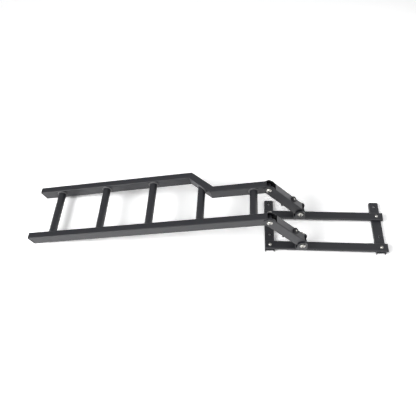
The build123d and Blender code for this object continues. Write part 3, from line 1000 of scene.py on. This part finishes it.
class PivotNuts(bpy.types.Operator):
    """Models the four lock nuts of the pivots and their nylon rings"""

    bl_idname = "tailgate_ladder.pivot_nuts"
    bl_label = "Pivot nuts"

    def execute(self, context):
        fastener = settings().fastener
        ring_radius = RING_RADIUS * fastener.pivot_flats
        for pivot, body, along in pivots():
            node = pivot + "nut"
            height = high(node).y - low(node).y
            ring_height = RING_HEIGHT * height
            seat = Vector((middle(node).x, low(node).y, middle(node).z))
            nut = lock_nut(node + "_chamfered", fastener.pivot_flats, fastener.pivot_diameter,
                           height, ring_radius, ring_height)
            set_down(nut, along, ACROSS, seat)
            hand_over(nut, body, "zinc", [node])
            ring = nut_ring(node + "_ring", fastener.pivot_diameter / 2.0,
                            ring_radius - RING_FIT, ring_height - RING_DROP, height - RING_DROP)
            set_down(ring, along, ACROSS, seat)
            hand_over(ring, body, "nylon")
        return {"FINISHED"}


class BaseBolts(bpy.types.Operator):
    """Models the four dome-headed bolts of the base and their nuts"""

    bl_idname = "tailgate_ladder.base_bolts"
    bl_label = "Base bolts"

    def execute(self, context):
        fastener = settings().fastener
        head_radius = high("base_bolts").x - middle("right_crossbar").x
        dome = domed_head("base_bolt_dome", head_radius, high("base_bolts").z - BAR_TOP,
                          fastener.small_socket)
        reach = BAR_TOP - low("base_bolts").z
        thread = threaded_rod("base_thread", fastener.small_diameter, fastener.small_pitch,
                              reach + OVERLAP)
        thread.location.z = OVERLAP
        settle(thread)
        bolt = join_up([dome, thread], "base_bolt_pattern")
        bolts = self.four_of(bolt, "base_bolt", BAR_TOP, BASE_BOLT_TURN)
        hand_over(join_up(bolts, "base_bolts_threaded"), "base", "zinc", ["base_bolts"])
        nut = plain_nut("base_nut_pattern", fastener.small_flats, fastener.small_diameter,
                        high("base_nuts").z - low("base_nuts").z)
        nuts = self.four_of(nut, "base_nut", low("base_nuts").z, BASE_NUT_TURN)
        hand_over(join_up(nuts, "base_nuts_chamfered"), "base", "zinc", ["base_nuts"])
        return {"FINISHED"}

    def four_of(self, pattern, name, height, turn):
        """Copies a pattern to the four crossings of bars and crossbars, each turned further."""
        places = [Vector((middle(bar).x, middle(rail).y, height))
                  for bar in ("left_crossbar", "right_crossbar")
                  for rail in ("near_bar", "far_bar")]
        copies = []
        for number, place in enumerate(places):
            copies.append(twin(pattern, name))
            along = Vector((math.cos(turn * number), math.sin(turn * number), 0.0))
            set_down(copies[-1], along, UP, place)
        bpy.data.objects.remove(pattern)
        return copies


class StopStuds(bpy.types.Operator):
    """Models the threaded studs and nuts of the arm stops"""

    bl_idname = "tailgate_ladder.stop_studs"
    bl_label = "Stop studs"

    def execute(self, context):
        fastener = settings().fastener
        for side in SIDES:
            axis = (middle(side + "_stop_bumper") - middle(side + "_stop_tip")).normalized()
            stud_node, nut_node = side + "_stop_stud", side + "_stop_nut"
            length = self.length_along(stud_node, axis, fastener.small_diameter)
            stud = threaded_rod(stud_node + "_threaded", fastener.small_diameter,
                                fastener.small_pitch, length)
            set_down(stud, ACROSS, axis, middle(stud_node) + axis * length / 2.0)
            hand_over(stud, side + "_arm", "zinc", [stud_node])
            height = self.length_along(nut_node, axis, fastener.small_flats)
            nut = plain_nut(nut_node + "_chamfered", fastener.small_flats,
                            fastener.small_diameter, height)
            set_down(nut, ACROSS, axis, middle(nut_node) - axis * height / 2.0)
            hand_over(nut, side + "_arm", "zinc", [nut_node])
        return {"FINISHED"}

    def length_along(self, node, axis, width):
        """Gives the length of a slanting stud or nut from its box and its width."""
        box = high(node) - low(node)
        return (box.z - width * abs(axis.x)) / abs(axis.z)


class Studio(bpy.types.Operator):
    """Sets the floor, the soft lights and the camera"""

    bl_idname = "tailgate_ladder.studio"
    bl_label = "Studio"

    def execute(self, context):
        scene = context.scene
        scene.view_settings.view_transform = "Standard"
        self.lay_floor()
        self.paint_walls(scene)
        self.hang_lights()
        self.set_camera(scene)
        return {"FINISHED"}

    def lay_floor(self):
        """Lays a white paper floor that keeps a soft shadow and stays white far away."""
        clear_selection()
        bpy.ops.mesh.primitive_plane_add(size=FLOOR_SIZE, location=(0.0, 0.0, FLOOR_LEVEL))
        floor = newest("studio_floor")
        settle(floor)
        material = bpy.data.materials.new("studio_floor")
        material.use_nodes = True
        tree = material.node_tree
        tree.nodes.remove(tree.nodes["Principled BSDF"])
        paper, seen_paper = [
            add_node(tree, "ShaderNodeBsdfDiffuse", {"Color": (grey, grey, grey, 1.0)}).outputs[0]
            for grey in (PAPER, SEEN_PAPER)]
        far_paper = add_node(tree, "ShaderNodeEmission", {"Strength": 1.0}).outputs[0]
        place = add_node(tree, "ShaderNodeTexCoord")
        reach = add_node(tree, "ShaderNodeVectorMath", operation="LENGTH")
        tree.links.new(place.outputs["Object"], reach.inputs[0])
        far_share = map_range(tree, reach.outputs["Value"], FAR_FLOOR)
        seen = mix_shaders(tree, far_share, seen_paper, far_paper)
        mixed = mix_shaders(tree, self.seen_share(tree), paper, seen)
        tree.links.new(mixed, tree.nodes["Material Output"].inputs["Surface"])
        floor.data.materials.append(material)

    def paint_walls(self, scene):
        """Makes the studio white to the eye and dimmer above, with a faint light of its own."""
        stage = settings().stage
        world = bpy.data.worlds.new("studio")
        world.use_nodes = True
        scene.world = world
        tree = world.node_tree
        light = tree.nodes["Background"]
        light.inputs["Color"].default_value = WALL_COLOUR
        place = add_node(tree, "ShaderNodeTexCoord")
        parts = add_node(tree, "ShaderNodeSeparateXYZ")
        tree.links.new(place.outputs["Generated"], parts.inputs["Vector"])
        across, depth, height = [parts.outputs[axis] for axis in "XYZ"]
        tree.links.new(map_range(tree, depth, FRONT_TO_BACK, stage.front_strength,
                                 stage.back_strength), light.inputs["Strength"])
        white = add_node(tree, "ShaderNodeBackground", {"Color": (1.0, 1.0, 1.0, 1.0)})
        up_the_wall = map_range(tree, height, FLOOR_TO_CEILING, 1.0, stage.ceiling_white)
        sides = combine(tree, "MULTIPLY", map_range(tree, across, LEFT_WALL, *LEFT_WHITE),
                        map_range(tree, across, RIGHT_WALL, *RIGHT_WHITE))
        above_horizon = map_range(tree, height, HORIZON, 1.0, sides)
        shaded = combine(tree, "MULTIPLY", up_the_wall, above_horizon, use_clamp=True)
        tree.links.new(shaded, white.inputs["Strength"])
        mixed = mix_shaders(tree, self.seen_share(tree), light.outputs[0], white.outputs[0])
        tree.links.new(mixed, tree.nodes["World Output"].inputs["Surface"])

    def seen_share(self, tree):
        """Gives 1 for what the camera sees straight on, mirrored or through glass, else 0."""
        ray = add_node(tree, "ShaderNodeLightPath")
        share = ray.outputs["Is Camera Ray"]
        for kind in ("Is Glossy Ray", "Is Transmission Ray"):
            share = combine(tree, "MAXIMUM", share, ray.outputs[kind])
        return share

    def hang_lights(self):
        """Hangs a soft key light on the left, one overhead and a small one behind the base."""
        stage = settings().stage
        for name, place, aim, (width, depth), power in (
                ("key_light", KEY_PLACE, Vector(stage.view_target), KEY_SIZE, stage.key_power),
                ("overhead_light", OVERHEAD_PLACE, OVERHEAD_AIM, OVERHEAD_SIZE,
                 stage.overhead_power),
                ("side_light", SIDE_PLACE, (BASE_PIVOT + LADDER_PIVOT) / 2.0, SIDE_SIZE,
                 stage.side_power)):
            clear_selection()
            bpy.ops.object.light_add(type="AREA", location=place)
            lamp = newest(name)
            lamp.data.shape = "RECTANGLE"
            lamp.data.size = width
            lamp.data.size_y = depth
            lamp.data.energy = power
            lamp.rotation_euler = (aim - place).to_track_quat("-Z", "Y").to_euler()

    def set_camera(self, scene):
        """Sets the camera at the picture's angle."""
        stage = settings().stage
        turn, tilt, roll = stage.view_turn, stage.view_tilt, stage.view_roll
        ahead = Vector((math.sin(turn) * math.cos(tilt), math.cos(turn) * math.cos(tilt),
                        -math.sin(tilt)))
        right = Vector((math.cos(turn), -math.sin(turn), 0.0))
        above = right.cross(ahead)
        rolled_right = right * math.cos(roll) + above * math.sin(roll)
        rolled_above = above * math.cos(roll) - right * math.sin(roll)
        clear_selection()
        bpy.ops.object.camera_add()
        camera = newest("picture_camera")
        camera.data.sensor_width = SENSOR_WIDTH
        camera.data.lens = stage.lens
        axes = Matrix((rolled_right, rolled_above, -ahead)).transposed().to_4x4()
        camera.matrix_world = Matrix.Translation(
            Vector(stage.view_target) - ahead * stage.view_distance) @ axes
        scene.camera = camera
        clear_selection()


STEPS = (DressFrame, RungWelds, HingeWelds, PivotBolts, PivotNuts, BaseBolts, StopStuds, Studio)


class LadderPanel(bpy.types.Panel):
    """Lists the steps that finish the tailgate ladder"""

    bl_idname = "VIEW3D_PT_tailgate_ladder"
    bl_label = "Tailgate ladder"
    bl_space_type = "VIEW_3D"
    bl_region_type = "UI"
    bl_category = "Tailgate ladder"

    def draw(self, context):
        for step in STEPS:
            self.layout.operator(step.bl_idname)


CLASSES = (CoatSettings, WeldSettings, FastenerSettings, StageSettings, LadderSettings,
           *STEPS, LadderPanel)


def register():
    """Registers the classes and the settings."""
    for one in CLASSES:
        bpy.utils.register_class(one)
    bpy.types.Scene.tailgate_ladder = bpy.props.PointerProperty(type=LadderSettings)


def unregister():
    """Takes the settings and the classes out again."""
    del bpy.types.Scene.tailgate_ladder
    for one in reversed(CLASSES):
        bpy.utils.unregister_class(one)


def main():
    """Runs every step in order."""
    register()
    bpy.ops.tailgate_ladder.dress_frame()
    bpy.ops.tailgate_ladder.rung_welds()
    bpy.ops.tailgate_ladder.hinge_welds()
    bpy.ops.tailgate_ladder.pivot_bolts()
    bpy.ops.tailgate_ladder.pivot_nuts()
    bpy.ops.tailgate_ladder.base_bolts()
    bpy.ops.tailgate_ladder.stop_studs()
    bpy.ops.tailgate_ladder.studio()


if __name__ == "__main__":
    main()
